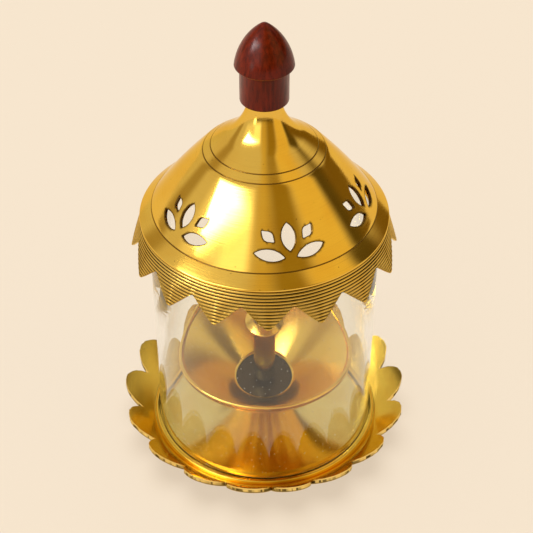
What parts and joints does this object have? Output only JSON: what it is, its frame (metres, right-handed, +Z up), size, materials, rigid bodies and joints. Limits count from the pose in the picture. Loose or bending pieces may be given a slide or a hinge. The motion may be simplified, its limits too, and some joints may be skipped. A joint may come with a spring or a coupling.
{
  "type": "akhand diya",
  "caption": "Brass oil lamp: a footed oil bowl with a wick tube stands in a glass chimney on a lotus dish, under a lift-off pierced canopy with a toothed skirt and a turned wooden finial.",
  "frame": {"origin": "on the lamp's axis, in the plane of the foot ring that stands on the table", "axes": "+Z up along the lamp's axis; -Y is the front, the side that faces the picture's camera"},
  "size_m": [0.1064, 0.1064, 0.1713],
  "materials": {
    "polished_brass": "polished",
    "ribbed_brass": "antique in the grooves",
    "clear_glass": "clear",
    "lacquered_wood": "red-brown lacquer",
    "cotton": "soft",
    "steel": "plated"
  },
  "bodies": {
    "base": {"base_plate": "polished_brass", "pedestal": "polished_brass", "oil_bowl": "polished_brass", "tie_bolt": "steel", "tie_washer": "steel"},
    "chimney": {"glass_chimney": "clear_glass"},
    "canopy": {"canopy_dome": "polished_brass", "canopy_skirt": "ribbed_brass", "finial": "lacquered_wood", "finial_screw": "steel", "finial_washer": "steel"},
    "wick_holder": {"wick_tube": "polished_brass", "drip_collar": "polished_brass"},
    "wick": {"cotton_wick": "cotton"}
  },
  "joints": [
    {"name": "chimney_lift", "type": "slide", "parent": "base", "child": "chimney", "axis": [0, 0, 1], "range_m": [0, 0.065]},
    {"name": "canopy_lift", "type": "slide", "parent": "chimney", "child": "canopy", "axis": [0, 0, 1], "range_m": [0, 0.04]},
    {"name": "wick_holder_lift", "type": "slide", "parent": "base", "child": "wick_holder", "axis": [0, 0, 1], "range_m": [0, 0.035]},
    {"name": "wick_feed", "type": "slide", "parent": "wick_holder", "child": "wick", "axis": [0, 0, 1], "range_m": [0, 0.012]}
  ]
}
